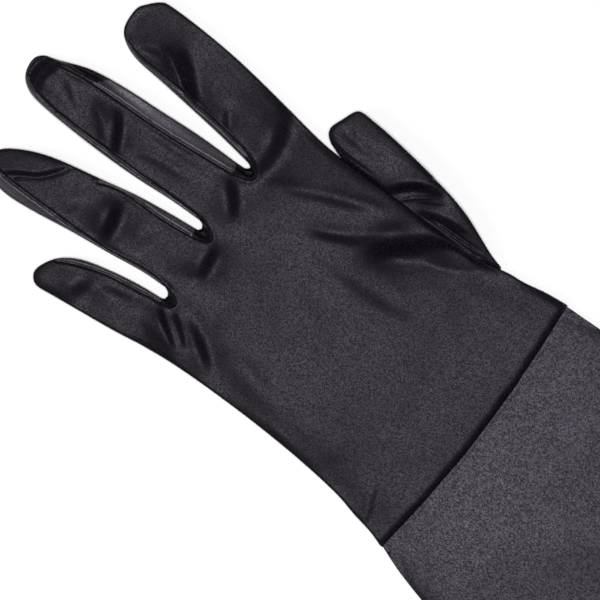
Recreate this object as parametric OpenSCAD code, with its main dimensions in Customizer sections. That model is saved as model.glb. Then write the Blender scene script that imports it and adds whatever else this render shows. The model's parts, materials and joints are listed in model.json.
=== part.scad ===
// Opera glove for the left hand, lying palm down, fingers towards +Y.
// A short satin hand is sewn to a long sleeve of heavier satin at the wrist seam.
// Every soft piece is a plain shell: the cloth lies flat above and below, with a
// strip standing between the two layers wherever the real glove has one or is folded.

/* [Glove] */
// Wrist seam to the tip of the middle finger
hand_len = 195; // [180:1:215]
// Wrist seam to the open end of the sleeve
sleeve_len = 365; // [330:5:420]
// Wrist seam to the crease where the sleeve folds at the elbow
elbow_at = 225; // [200:5:250]

/* [Cloth] */
// Thickness of the cloth, seam allowance included
cloth = 0.8; // [0.6:0.1:1.0]
// Height of a finger as it lies
finger_h = 8; // [7:0.5:9]
// Height of the thumb as it lies
thumb_h = 7; // [6.5:0.5:8]
// Height of the hand as it lies
hand_h = 9; // [8.5:0.5:11]
// Height of the sleeve as it lies
sleeve_h = 10; // [9:0.5:12]
// Room left along each crease, so that one side can turn against the other
crease_gap = 0.6; // [0.4:0.1:1.2]

/* [Hems] */
// Depth of the turned hem at the hand's wrist edge
wrist_hem_w = 12; // [8:1:16]
// Depth of the turned hem at the open end of the sleeve
top_hem_w = 18; // [12:1:24]
// Width of the elastic tape inside the top hem
elastic_w = 8; // [6:1:10]
// Thickness of the layers that are turned inside
lining = 0.5; // [0.4:0.1:0.6]

/* [Hidden] */

hand_cloth = [0.16, 0.15, 0.17];
sleeve_cloth = [0.24, 0.23, 0.25];
trim_cloth = [0.10, 0.10, 0.11];

// The pattern is drawn for a 195 mm hand and a 365 mm sleeve, from the middle of the
// wrist seam: X towards the thumb, Y towards the fingertips. Outer is the little
// finger's side of the hand, and inner is the thumb's side.
size = hand_len / 195;
stretch = sleeve_len / 365;
// Points on each smooth line between two points of the pattern.
steps = 4;

// Each finger's edge runs from the outer end of its base crease, round the tip, to the inner end.
LITTLE = [[-47.4, 107.5], [-49.2, 118], [-50.8, 130], [-52.2, 141], [-52.9, 146.6], [-52, 149.2],
    [-49.4, 150.7], [-45.4, 149.6], [-40.8, 146.4], [-36.8, 140], [-33.9, 130], [-31.9, 120], [-30.8, 110.6]];
RING = [[-26.6, 112.5], [-27.2, 122], [-29, 134], [-31, 149], [-33.3, 163], [-34.4, 174],
    [-33, 182], [-28.5, 186.8], [-23.5, 184.8], [-18.6, 177.5], [-14.8, 167.5], [-11, 151],
    [-8.2, 139], [-6.2, 126], [-5, 115.8]];
MIDDLE = [[-1.4, 116.5], [-1.9, 129], [-3.1, 143], [-3.6, 157], [-3.5, 172], [-2.8, 185],
    [-1, 191], [2.4, 194.2], [7.4, 195], [10.4, 193], [12.2, 188], [16.4, 177], [18.5, 164],
    [19.6, 150], [20.9, 134], [21.3, 117.6]];
INDEX = [[24.4, 117], [25.8, 129], [27, 142], [28.1, 155], [29, 166.5], [31.2, 173],
    [35, 176.8], [42.2, 177.5], [46, 175.2], [49, 172.2], [50, 169], [50.2, 157], [49.6, 142],
    [48.3, 129], [46.6, 115.4]];
// The thumb's edge runs the same way above its crease.
THUMB = [[45.7, 65], [45.5, 74], [45.3, 85], [45.4, 94], [47.2, 98.6], [50.4, 100.5], [55.5, 98.9],
    [59.8, 97.2], [61.1, 95.2], [61.1, 91], [60.7, 83], [59.6, 72], [58.4, 62.4]];
// Outer edge of the thumb's root, from the hand up to the crease.
THUMB_ROOT = [[47.9, 24.5], [49.4, 30.5], [52, 37.5], [54.8, 45], [56.8, 53], [58.2, 61.8]];
// The hole in the hand's inner side where the thumb joins it, as two distances from the wrist seam.
THUMB_HOLE = [33, 57];
// The edges between the fingers, from one finger's crease to the next.
GAP_LITTLE_RING = [[-30.8, 110.6], [-30.2, 109.7], [-29.2, 109.4], [-28, 109.9], [-27.1, 111],
    [-26.6, 112.5]];
GAP_RING_MIDDLE = [[-5, 115.8], [-4.6, 114.6], [-3.6, 114.2], [-2.6, 114.6], [-1.8, 115.4],
    [-1.4, 116.5]];
GAP_MIDDLE_INDEX = [[21.3, 117.6], [21.5, 115.2], [22, 114], [22.8, 113.6], [23.6, 114.2], [24.1, 115.4],
    [24.4, 117]];
// The hand's two side edges, from the wrist up to the fingers.
OUTER_SIDE = [[-52, 0.6], [-50.4, 6], [-49, 14], [-47.3, 22], [-46, 34], [-45.2, 48], [-44.9, 64],
    [-45.2, 82], [-46, 96], [-47.4, 107.5]];
INNER_SIDE = [[51.2, 0.6], [50.2, 8], [48.5, 16], [47.8, 22], [46.4, 28], [44.9, 36], [44.3, 46],
    [44.6, 58], [44.4, 72], [44.1, 86], [44.4, 98], [45.4, 107], [46.6, 115.4]];
// The sleeve's two side edges, from the open end up to the wrist seam.
SLEEVE_OUTER = [[-88, -365], [-84, -300], [-79.5, -225], [-76, -170], [-71.5, -110], [-66, -60], [-58, -20],
    [-52.2, 0]];
SLEEVE_INNER = [[73, -365], [69.5, -300], [65.5, -225], [62.5, -170], [59, -110], [55, -60], [52.2, -20],
    [51, 0]];

// How far the wrist edge bows towards the sleeve, and how far the sleeve's end is tucked into the hand.
wrist_bow = 3.2 * size;
tuck = 7 * size;
// The wrist's crease.
wrist_y = -wrist_bow;

function last(p) = p[len(p) - 1];
function reverse(p) = [for (i = [len(p) - 1:-1:0]) p[i]];
function at(p, i) = p[max(0, min(len(p) - 1, i))];
function unit(v) = v / norm(v);
function left_of(v) = [-v.y, v.x];

// A smooth line through the points p, as a Catmull-Rom curve.
function curve_point(a, b, c, d, t) =
    0.5 * (2 * b + (c - a) * t + (2 * a - 5 * b + 4 * c - d) * t * t + (3 * b - a - 3 * c + d) * t * t * t);
function smooth(p) = concat(
    [for (i = [0:len(p) - 2], k = [0:steps - 1])
        curve_point(at(p, i - 1), p[i], p[i + 1], at(p, i + 2), k / steps)],
    [last(p)]);

// The line p moved to its left by d.
function beside(p, d) = [for (i = [0:len(p) - 1]) p[i] + left_of(unit(at(p, i + 1) - at(p, i - 1))) * d];

// The stretch of the rising line p between two heights.
function point_at(p, y) =
    let (i = max([for (k = [0:len(p) - 2]) if (p[k].y <= y) k]), a = p[i], b = p[i + 1])
    [a.x + (b.x - a.x) * (y - a.y) / (b.y - a.y), y];
function between(p, y0, y1) = concat(
    [point_at(p, y0)], [for (q = p) if (q.y > y0 + 0.4 && q.y < y1 - 0.4) q], [point_at(p, y1)]);

// A finger's smooth edge, with its two ends moved off the crease.
function off_crease(edge) = let (up = left_of(unit(last(edge) - edge[0])) * crease_gap)
    [for (i = [0:len(edge) - 1]) edge[i] + (i == 0 || i == len(edge) - 1 ? up : [0, 0])];
function finger_edge(p) = smooth(off_crease(p * size));
function first_half(p) = [for (i = [0:floor(len(p) / 2)]) p[i]];
function second_half(p) = [for (i = [floor(len(p) / 2):len(p) - 1]) p[i]];

little = finger_edge(LITTLE);
ring = finger_edge(RING);
middle = finger_edge(MIDDLE);
index = finger_edge(INDEX);
thumb = finger_edge(THUMB);
thumb_root = smooth(THUMB_ROOT * size);
outer_side = smooth(OUTER_SIDE * size);
inner_side = smooth(INNER_SIDE * size);
gap_little_ring = smooth(GAP_LITTLE_RING * size);
gap_ring_middle = smooth(GAP_RING_MIDDLE * size);
gap_middle_index = smooth(GAP_MIDDLE_INDEX * size);
sleeve_outer = smooth([for (q = SLEEVE_OUTER) [q.x * size, q.y * stretch]]);
sleeve_inner = smooth([for (q = SLEEVE_INNER) [q.x * size, q.y * stretch]]);

// The bowed wrist edge, from the inner corner to the outer one, without the corners.
wrist_edge = let (a = inner_side[0], b = outer_side[0], n = 16)
    [for (i = [1:n - 1]) a + (b - a) * i / n - [0, wrist_bow * sin(180 * i / n)]];
hand_outline = concat(
    outer_side, gap_little_ring, gap_ring_middle, gap_middle_index, reverse(inner_side), wrist_edge);
thumb_root_outline = concat(between(inner_side, 24.5 * size, 64.4 * size), reverse(thumb_root));

centre = [(sleeve_outer[0].x + sleeve_inner[0].x) / 2, (hand_len - sleeve_len) / 2];

// The whole glove is centred on the origin.
module placed() {
    translate([-centre.x, -centre.y, 0]) children();
}

// A flat layer of cloth with the outline p, its lower face at z.
module layer(p, z) {
    placed() translate([0, 0, z]) linear_extrude(height = cloth) polygon(p);
}

// A strip of cloth standing on edge along p, in a part of height h, to the line's left by thickness t.
module strip(p, h, t) {
    ribbon(p, beside(p, t), h);
}
module ribbon(p, q, h) {
    placed() translate([0, 0, cloth]) linear_extrude(height = h - 2 * cloth) polygon(concat(p, reverse(q)));
}

// The first and the second half of the strip round a finger or the thumb. They meet at the tip.
module first_strip(edge, h) {
    ribbon(first_half(edge), first_half(beside(edge, -cloth)), h);
}
module second_strip(edge, h) {
    ribbon(second_half(edge), second_half(beside(edge, -cloth)), h);
}

// A flattened tube of thickness t, open at both ends, between the rising lines a, on the left, and b.
// It lies inside a part of height h by the distance inset on all sides. The points of edge close its
// lower end.
module flat_tube(a, b, edge, h, inset, t) {
    bore_a = beside(a, -inset - t);
    bore_b = beside(b, inset + t);
    past = [0, 30];
    bore = concat([bore_a[0] - past], bore_a, [last(bore_a) + past, last(bore_b) + past],
        reverse(bore_b), [bore_b[0] - past]);
    placed() difference() {
        translate([0, 0, inset]) linear_extrude(height = h - 2 * inset)
            polygon(concat(beside(a, -inset), reverse(beside(b, inset)), edge));
        translate([0, 0, inset + t]) linear_extrude(height = h - 2 * (inset + t)) polygon(bore);
    }
}

/* The hand */

module hand_back() {
    color(hand_cloth) layer(hand_outline, hand_h - cloth);
}
module hand_palm() {
    color(hand_cloth) layer(hand_outline, 0);
}
module hand_outer_side() {
    color(hand_cloth) strip(outer_side, hand_h, -cloth);
}
module hand_inner_side() {
    hole = (THUMB_HOLE[1] - THUMB_HOLE[0]) * size;
    color(hand_cloth) difference() {
        strip(inner_side, hand_h, cloth);
        placed() translate([40 * size, THUMB_HOLE[0] * size, 0]) cube([12 * size, hole, thumb_h - cloth]);
    }
}
module fork(gap) {
    color(hand_cloth) strip(gap, hand_h, -cloth);
}
module fork_little_ring() {
    fork(gap_little_ring);
}
module fork_ring_middle() {
    fork(gap_ring_middle);
}
module fork_middle_index() {
    fork(gap_middle_index);
}
module wrist_hem() {
    a = between(outer_side, 0.6 * size, wrist_hem_w);
    b = between(inner_side, 0.6 * size, wrist_hem_w);
    color(hand_cloth) flat_tube(a, b, wrist_edge, hand_h, cloth, lining);
}
// The end of the sleeve's cloth, inside the wrist hem. It shows as a sliver outside the bowed edge.
module sleeve_seam_allowance() {
    a = between(outer_side, 0.6 * size, tuck);
    b = between(inner_side, 0.6 * size, tuck);
    inset = cloth + lining;
    y = wrist_y + crease_gap / 2;
    color(sleeve_cloth) flat_tube(a, b, [[b[0].x - inset, y], [a[0].x + inset, y]], hand_h, inset, lining);
}

/* The thumb's root, a gusset let into the hand, and the thumb */

module thumb_root_back() {
    color(hand_cloth) layer(thumb_root_outline, thumb_h - cloth);
}
module thumb_root_palm() {
    color(hand_cloth) layer(thumb_root_outline, 0);
}
module thumb_root_side() {
    color(hand_cloth) strip(thumb_root, thumb_h, cloth);
}
module thumb_back() {
    color(hand_cloth) layer(thumb, thumb_h - cloth);
}
module thumb_palm() {
    color(hand_cloth) layer(thumb, 0);
}
module thumb_inner_side() {
    color(hand_cloth) first_strip(thumb, thumb_h);
}
module thumb_outer_side() {
    color(hand_cloth) second_strip(thumb, thumb_h);
}

/* The fingers. A fourchette is the strip sewn between back and palm where two fingers face each other. */

module little_back() {
    color(hand_cloth) layer(little, finger_h - cloth);
}
module little_palm() {
    color(hand_cloth) layer(little, 0);
}
module little_side() {
    color(hand_cloth) first_strip(little, finger_h);
}
module little_fourchette() {
    color(hand_cloth) second_strip(little, finger_h);
}

module ring_back() {
    color(hand_cloth) layer(ring, finger_h - cloth);
}
module ring_palm() {
    color(hand_cloth) layer(ring, 0);
}
module ring_fourchette_outer() {
    color(hand_cloth) first_strip(ring, finger_h);
}
module ring_fourchette_inner() {
    color(hand_cloth) second_strip(ring, finger_h);
}

module middle_back() {
    color(hand_cloth) layer(middle, finger_h - cloth);
}
module middle_palm() {
    color(hand_cloth) layer(middle, 0);
}
module middle_fourchette_outer() {
    color(hand_cloth) first_strip(middle, finger_h);
}
module middle_fourchette_inner() {
    color(hand_cloth) second_strip(middle, finger_h);
}

module index_back() {
    color(hand_cloth) layer(index, finger_h - cloth);
}
module index_palm() {
    color(hand_cloth) layer(index, 0);
}
module index_fourchette() {
    color(hand_cloth) first_strip(index, finger_h);
}
module index_side() {
    color(hand_cloth) second_strip(index, finger_h);
}

/* The sleeve. The forearm and the arm are one cloth, parted at the elbow's crease. */

forearm_y = [-elbow_at + crease_gap / 2, wrist_y - crease_gap / 2];
arm_y = [-sleeve_len, -elbow_at - crease_gap / 2];

module sleeve_layer(y, z) {
    color(sleeve_cloth)
        layer(concat(between(sleeve_outer, y[0], y[1]), reverse(between(sleeve_inner, y[0], y[1]))), z);
}
module sleeve_strip(edge, y, t) {
    color(sleeve_cloth) strip(between(edge, y[0], y[1]), sleeve_h, t);
}

module forearm_upper_layer() {
    sleeve_layer(forearm_y, sleeve_h - cloth);
}
module forearm_under_layer() {
    sleeve_layer(forearm_y, 0);
}
module forearm_outer_side() {
    sleeve_strip(sleeve_outer, forearm_y, -cloth);
}
module forearm_inner_side() {
    sleeve_strip(sleeve_inner, forearm_y, cloth);
}
module arm_upper_layer() {
    sleeve_layer(arm_y, sleeve_h - cloth);
}
module arm_under_layer() {
    sleeve_layer(arm_y, 0);
}
module arm_outer_side() {
    sleeve_strip(sleeve_outer, arm_y, -cloth);
}
module arm_inner_side() {
    sleeve_strip(sleeve_inner, arm_y, cloth);
}
// The hem is the sleeve's own cloth turned inside, with the elastic between it and the sleeve's upper part.
module top_hem() {
    a = between(sleeve_outer, -sleeve_len, top_hem_w - sleeve_len);
    b = between(sleeve_inner, -sleeve_len, top_hem_w - sleeve_len);
    color(trim_cloth) flat_tube(a, b, [], sleeve_h, cloth, lining);
}
module top_elastic() {
    y = -sleeve_len + (top_hem_w - elastic_w) / 2;
    inset = cloth + lining;
    a = between(sleeve_outer, y, y + elastic_w);
    b = between(sleeve_inner, y, y + elastic_w);
    color(trim_cloth) flat_tube(a, b, [], sleeve_h, inset, lining);
}

hand_back();
hand_palm();
hand_outer_side();
hand_inner_side();
wrist_hem();
sleeve_seam_allowance();
fork_little_ring();
fork_ring_middle();
fork_middle_index();
thumb_root_back();
thumb_root_palm();
thumb_root_side();
little_back();
little_palm();
little_side();
little_fourchette();
ring_back();
ring_palm();
ring_fourchette_outer();
ring_fourchette_inner();
middle_back();
middle_palm();
middle_fourchette_outer();
middle_fourchette_inner();
index_back();
index_palm();
index_fourchette();
index_side();
thumb_back();
thumb_palm();
thumb_inner_side();
thumb_outer_side();
forearm_upper_layer();
forearm_under_layer();
forearm_outer_side();
forearm_inner_side();
arm_upper_layer();
arm_under_layer();
arm_outer_side();
arm_inner_side();
top_hem();
top_elastic();
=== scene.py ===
import json
import math
import bpy
import numpy as np
from mathutils import Matrix, Vector, geometry


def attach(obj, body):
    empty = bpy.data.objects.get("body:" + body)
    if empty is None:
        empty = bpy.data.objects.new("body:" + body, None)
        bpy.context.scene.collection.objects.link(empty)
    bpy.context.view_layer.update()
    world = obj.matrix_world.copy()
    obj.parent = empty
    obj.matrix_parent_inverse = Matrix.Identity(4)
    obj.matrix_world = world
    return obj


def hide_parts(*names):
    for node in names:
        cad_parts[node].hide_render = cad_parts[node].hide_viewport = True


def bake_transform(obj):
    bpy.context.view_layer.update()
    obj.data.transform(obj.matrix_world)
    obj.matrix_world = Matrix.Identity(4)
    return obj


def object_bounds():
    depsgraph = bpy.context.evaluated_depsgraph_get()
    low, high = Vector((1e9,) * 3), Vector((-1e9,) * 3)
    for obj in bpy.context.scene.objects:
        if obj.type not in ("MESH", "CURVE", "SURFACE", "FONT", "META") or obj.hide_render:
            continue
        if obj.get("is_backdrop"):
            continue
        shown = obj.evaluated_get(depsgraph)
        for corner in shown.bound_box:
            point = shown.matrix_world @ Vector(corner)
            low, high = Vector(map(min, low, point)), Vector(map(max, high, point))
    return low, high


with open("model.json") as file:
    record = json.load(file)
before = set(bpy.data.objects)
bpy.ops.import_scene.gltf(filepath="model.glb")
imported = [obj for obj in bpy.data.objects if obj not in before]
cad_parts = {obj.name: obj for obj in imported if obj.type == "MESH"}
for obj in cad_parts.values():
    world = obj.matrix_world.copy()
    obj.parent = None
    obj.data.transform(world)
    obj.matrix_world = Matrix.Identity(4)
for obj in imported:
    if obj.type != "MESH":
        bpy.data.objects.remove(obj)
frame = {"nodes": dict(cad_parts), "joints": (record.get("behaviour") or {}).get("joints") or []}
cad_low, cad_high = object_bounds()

# Everything is worked out in millimetres in the row frame, and turned into metres when a mesh is made.
# Folds and seams are placed on the glove's pattern: u towards the thumb's side, v towards the fingertips,
# from the middle of the wrist seam, which the wrist's joint marks.
joint = {j["name"]: j for j in frame["joints"]}
SEAM_MIDDLE = (0.5, 3.2)
ORIGIN = np.array(joint["wrist_fold"]["pos_m"][:2]) * 1000 + SEAM_MIDDLE
ELBOW_Y = joint["elbow_fold"]["pos_m"][1] * 1000
WRIST_Y = joint["wrist_fold"]["pos_m"][1] * 1000


def pattern(points):
    """Points given on the pattern, in the row frame."""
    return np.array(points, float) + ORIGIN


# ---------------------------------------------------------------- lines and distances


def resample(line, step):
    """The polyline with points about step apart, its corners rounded by a Catmull-Rom curve."""
    line = np.asarray(line, float)
    padded = np.vstack([2 * line[0] - line[1], line, 2 * line[-1] - line[-2]])
    fine = []
    for a, b, c, d in zip(padded, padded[1:], padded[2:], padded[3:]):
        t = np.linspace(0, 1, 12, endpoint=False)[:, None]
        square, cube = 2 * a - 5 * b + 4 * c - d, 3 * b - a - 3 * c + d
        fine.append(0.5 * (2 * b + (c - a) * t + square * t**2 + cube * t**3))
    fine = np.vstack(fine + [line[-1:]])
    s = np.concatenate([[0], np.cumsum(np.linalg.norm(np.diff(fine, axis=0), axis=1))])
    at = np.linspace(0, s[-1], max(2, round(s[-1] / step) + 1))
    return np.stack([np.interp(at, s, fine[:, 0]), np.interp(at, s, fine[:, 1])], 1)


def to_line(p, line, chunk=4000):
    """For each point of p: distance to the polyline, share of its length there, and side, + on its left."""
    a, b = line[:-1], line[1:]
    ab = b - a
    len2 = np.maximum((ab**2).sum(1), 1e-12)
    seg = np.sqrt(len2)
    s0 = np.concatenate([[0], np.cumsum(seg)[:-1]])
    dist, share, side = (np.empty(len(p)) for _ in range(3))
    for i in range(0, len(p), chunk):
        q = p[i : i + chunk, None, :] - a[None]
        t = np.clip((q * ab).sum(2) / len2, 0, 1)
        off = q - t[..., None] * ab
        d2 = (off**2).sum(2)
        k = d2.argmin(1)
        r = np.arange(len(k))
        dist[i : i + chunk] = np.sqrt(d2[r, k])
        share[i : i + chunk] = (s0[k] + t[r, k] * seg[k]) / seg.sum()
        side[i : i + chunk] = np.sign(ab[k, 0] * q[r, k, 1] - ab[k, 1] * q[r, k, 0])
    return dist, share, side


def inside(p, loop, chunk=4000):
    """Which points of p lie inside the closed loop."""
    a, b = loop, np.roll(loop, -1, 0)
    result = np.zeros(len(p), bool)
    for i in range(0, len(p), chunk):
        x, y = p[i : i + chunk, 0, None], p[i : i + chunk, 1, None]
        cross = (a[:, 1] > y) != (b[:, 1] > y)
        slope = (b[:, 0] - a[:, 0]) / np.where(b[:, 1] == a[:, 1], 1e-12, b[:, 1] - a[:, 1])
        result[i : i + chunk] = ((cross & (x < a[:, 0] + (y - a[:, 1]) * slope)).sum(1) % 2) == 1
    return result


def smoothstep(x, a, b):
    """0 up to a, 1 from b on, and a smooth rise between them."""
    t = np.clip((x - a) / (b - a), 0, 1)
    return t * t * (3 - 2 * t)


def to_left(line):
    """The unit vector to the line's left at each of its points."""
    step = np.gradient(line, axis=0)
    return np.stack([-step[:, 1], step[:, 0]], 1) / np.linalg.norm(step, axis=1)[:, None]


def nearest_on(line, q):
    """The number of the line's point that is nearest to q."""
    return np.linalg.norm(line - q, axis=1).argmin()


# ---------------------------------------------------------------- outlines, from the CAD layers


def top_loop(node):
    """The outline of a flat CAD layer, as an ordered loop of points in mm."""
    mesh = frame["nodes"][node].data
    co = np.array([v.co for v in mesh.vertices]) * 1000
    high = co[:, 2].max() - 1e-3
    keys = [tuple(np.round(c[:2], 3)) for c in co]
    count = {}
    for f in mesh.polygons:
        if all(co[i, 2] > high for i in f.vertices):
            ring = [keys[i] for i in f.vertices]
            for a, b in zip(ring, ring[1:] + ring[:1]):
                count[(a, b)] = count.get((a, b), 0) + 1
    follow = {a: b for (a, b) in count if (b, a) not in count}
    start = next(iter(follow))
    loop = [start]
    while follow[loop[-1]] != start:
        loop.append(follow[loop[-1]])
    return np.array(loop)


def open_paths(loop, longest):
    """The loop cut into open paths at its sides over the longest step, which are the creases."""
    gap = np.linalg.norm(np.roll(loop, -1, 0) - loop, axis=1)
    cuts = [i for i in range(len(loop)) if gap[i] > longest]
    paths = []
    for i, j in zip(cuts, cuts[1:] + [cuts[0] + len(loop)]):
        paths.append(np.array([loop[k % len(loop)] for k in range(i + 1, j + 1)]))
    return paths


def chained(paths):
    """Open paths that nearly meet, joined end to end into one loop."""
    rest = list(paths)
    line = rest.pop(0)
    while rest:
        k = min(range(len(rest)), key=lambda i: np.linalg.norm(rest[i][0] - line[-1]))
        line = np.vstack([line, rest.pop(k)])
    return line


FINGERS = ["little", "ring", "middle", "index"]
HAND_STEP, FINGER_STEP, THUMB_STEP = 14.0, 12.0, 9.0
paths = open_paths(top_loop("hand_back"), HAND_STEP)
paths += [open_paths(top_loop(name + "_back"), FINGER_STEP)[0] for name in FINGERS]
big = max(paths, key=len)
outline = chained([big] + [p for p in paths if p is not big])
# The two corners of the wrist edge cut the outline into the hem edge and the closed edge.
CORNERS_WITHIN = 6
low = outline[:, 1] < WRIST_Y + CORNERS_WITHIN
left_corner = int(np.where(low, outline[:, 0], 1e9).argmin())
right_corner = int(np.where(low, outline[:, 0], -1e9).argmax())
outline = np.roll(outline, -right_corner, 0)
k = (left_corner - right_corner) % len(outline)
edge_line, hem_line = outline[: k + 1], np.vstack([outline[k:], outline[:1]])
if len(edge_line) < len(hem_line):
    edge_line, hem_line = hem_line, edge_line

# The closed edge runs with the cloth on its left. It stands proud of the CAD layers, and the hem hangs lower.
CLOTH_PROUD = 0.25
HEM_LOWER = np.array([0, -1.1])
EDGE_STEP, HEM_STEP, SLEEVE_STEP, OPEN_STEP = 0.9, 1.5, 1.4, 1.3
edge_line = resample(edge_line, EDGE_STEP)
edge_line = edge_line - CLOTH_PROUD * to_left(edge_line)
edge_line = np.vstack([edge_line[:1] + HEM_LOWER, edge_line, edge_line[-1:] + HEM_LOWER])
hem_line = resample(np.vstack([edge_line[-1:], hem_line[2:-2] + HEM_LOWER, edge_line[:1]]), HEM_STEP)
hand_loop = np.vstack([edge_line, hem_line[1:-1]])

# The sleeve's two side edges in the CAD layers, as x by y.
left_edge, right_edge = {}, {}
for layer in ("arm_upper_layer", "forearm_upper_layer"):
    for x, y in top_loop(layer):
        (left_edge if x < 0 else right_edge)[y] = x
SLEEVE_END = min(left_edge)
# The sleeve's end reaches this far into the hand, and its sides lie this far inside the hand's.
TUCK_Y = WRIST_Y + 9.0
INSET_AT_SEAM, INSET_AT_END = 0.5, 0.5 + 1.6


def sleeve_side(edge, corner_x):
    """One side of the sleeve, from its open end up into the hand, whose wrist edge ends at corner_x."""
    inward = -math.copysign(1, corner_x)
    line = [(edge[y], y) for y in sorted(edge) if y < WRIST_Y - 2]
    line += [(corner_x + inward * INSET_AT_SEAM, ORIGIN[1] + 0.4), (corner_x + inward * INSET_AT_END, TUCK_Y)]
    return resample(line, SLEEVE_STEP)


left_corner_x, right_corner_x = sorted((edge_line[0][0], edge_line[-1][0]))
sleeve_left = sleeve_side(left_edge, left_corner_x)
sleeve_right = sleeve_side(right_edge, right_corner_x)


def between(a, b):
    """Points between a and b, without the two ends."""
    n = max(2, round(float(np.linalg.norm(b - a)) / OPEN_STEP))
    return a + (b - a) * (np.arange(1, n) / n)[:, None]


# Both ends of the sleeve are open, and its two sides are folded edges.
sleeve_loop = np.vstack([
    sleeve_right, between(sleeve_right[-1], sleeve_left[-1]),
    sleeve_left[::-1], between(sleeve_left[0], sleeve_right[0]),
])
sleeve_edges = [sleeve_right, sleeve_left]

# ---------------------------------------------------------------- how far the glove stands open

CELL = 0.5
MARGIN = Vector((6, 6))
GRID_LOW = cad_low.xy * 1000 - MARGIN
GRID_HIGH = cad_high.xy * 1000 + MARGIN
gx = np.arange(GRID_LOW.x, GRID_HIGH.x, CELL)
gy = np.arange(GRID_LOW.y, GRID_HIGH.y, CELL)
GX, GY = np.meshgrid(gx, gy)
cells = np.stack([GX.ravel(), GY.ravel()], 1)


def sampled(field, p, cell=CELL):
    """Bilinear value of a grid field at each point."""
    fx = np.clip((p[:, 0] - gx[0]) / cell, 0, field.shape[1] - 1.001)
    fy = np.clip((p[:, 1] - gy[0]) / cell, 0, field.shape[0] - 1.001)
    i, j = fx.astype(int), fy.astype(int)
    a, b = fx - i, fy - j
    low = field[j, i] * (1 - a) + field[j, i + 1] * a
    high = field[j + 1, i] * (1 - a) + field[j + 1, i + 1] * a
    return low * (1 - b) + high * b


near_hand = (cells > hand_loop.min(0)).all(1) & (cells < hand_loop.max(0)).all(1)
hand_mask = np.zeros(len(cells), bool)
hand_mask[near_hand] = inside(cells[near_hand], hand_loop)
edge_far = np.zeros(len(cells))
edge_far[hand_mask] = to_line(cells[hand_mask], edge_line)[0]
edge_far = edge_far.reshape(GX.shape)
WAVE_Y = 2 * np.pi * np.fft.fftfreq(GX.shape[0], CELL)[:, None]
WAVE_X = 2 * np.pi * np.fft.fftfreq(GX.shape[1], CELL)[None]
WAVE2 = WAVE_X**2 + WAVE_Y**2


def softened(field, scale):
    """The grid field, blurred by a Gaussian of the given size in mm."""
    return np.fft.ifft2(np.fft.fft2(field) * np.exp(-0.5 * scale**2 * WAVE2)).real


edge_far = softened(edge_far, 1.4)
rng = np.random.default_rng(11)


def uneven(scale):
    """A random grid field with bumps of the given size in mm, as high on average as 1."""
    soft = softened(rng.standard_normal(GX.shape), scale)
    return soft / soft.std()


# A faint unevenness over all the cloth. Beside its folded edge the cloth lies flat in a rim, and it swells a
# little further in, less so in the fingers and beside the hem.
rough = 0.03 * uneven(2.2) + 0.08 * uneven(6) + 0.20 * uneven(14)
fuller = np.clip(0.75 + 0.35 * uneven(16), 0.2, 1.4)
ragged = uneven(1.5)
flatter = 1 - 0.85 * smoothstep(GY - ORIGIN[1], 50, 118)
near_hem = 0.35 + 0.65 * smoothstep(GY - ORIGIN[1], 0, 35)
swell = 1.1 * near_hem * fuller * flatter * smoothstep(edge_far, 2.6, 12.5)
swell += 1.2 * (1 - np.exp(-edge_far / 22))

# ---------------------------------------------------------------- folds


def along(p, line):
    """Distance from a line, + on its left, share of its length, and a fade from its middle to its ends."""
    d, share, side = to_line(p, line)
    return d * side, share, smoothstep(share, 0, 0.35) * (1 - smoothstep(share, 0.65, 1))


# How far a fold is felt, in mm. The filling of a loop uses one cell in COARSE each way.
REACH = 60.0
COARSE = 4
ROUNDS = 400


def filled(values, loop):
    """The grid field inside a loop that joins the values outside it as smoothly as a stretched skin would."""
    values = values[::COARSE, ::COARSE].copy()
    at = np.stack([GX[::COARSE, ::COARSE].ravel(), GY[::COARSE, ::COARSE].ravel()], 1)
    free = inside(at, loop).reshape(values.shape)[1:-1, 1:-1]
    for _ in range(ROUNDS):
        around = values[:-2, 1:-1] + values[2:, 1:-1] + values[1:-1, :-2] + values[1:-1, 2:]
        values[1:-1, 1:-1] = np.where(free, around / 4, values[1:-1, 1:-1])
    return values


def scarred(scarps, loop, p, raised=0.0):
    """Height at p of cloth inside a loop that slopes, as nearly as a surface can, only in a band along each
    line. There it falls by drop from the line's left to its right. Along the loop the height is 0.
    Also how far the loop itself is raised, at most by the grid field raised, so that the cloth can lie so."""
    pull = np.zeros((2, len(cells)))
    for line, drop, width in scarps:
        line = resample(pattern(line), 1.0)
        way = np.gradient(line, axis=0)
        way /= np.linalg.norm(way, axis=1)[:, None]
        margin = 3 * width
        near = np.flatnonzero((cells > line.min(0) - margin).all(1) & (cells < line.max(0) + margin).all(1))
        s, share, fade = along(cells[near], line)
        steep = drop / (width * math.sqrt(math.pi)) * fade * np.exp(-((s / width) ** 2))
        at = np.linspace(0, 1, len(line))
        pull[0, near] -= steep * np.interp(share, at, way[:, 1])
        pull[1, near] += steep * np.interp(share, at, way[:, 0])
    pull_x, pull_y = (np.fft.fft2(q.reshape(GX.shape)) for q in pull)
    height = np.fft.ifft2(-1j * (WAVE_X * pull_x + WAVE_Y * pull_y) / (WAVE2 + REACH**-2)).real
    level = sampled(height, p) - sampled(filled(height, loop), p, CELL * COARSE)
    return level, sampled(filled(np.clip(height, 0, raised), loop), p, CELL * COARSE)


def pleated(p, pleats):
    """Soft ridges along lines, or grooves where the height is negative."""
    total = np.zeros(len(p))
    for line, height, width in pleats:
        s, _, fade = along(p, resample(pattern(line), 1.0))
        total += height * fade * np.exp(-((s / width) ** 2))
    return total


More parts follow.
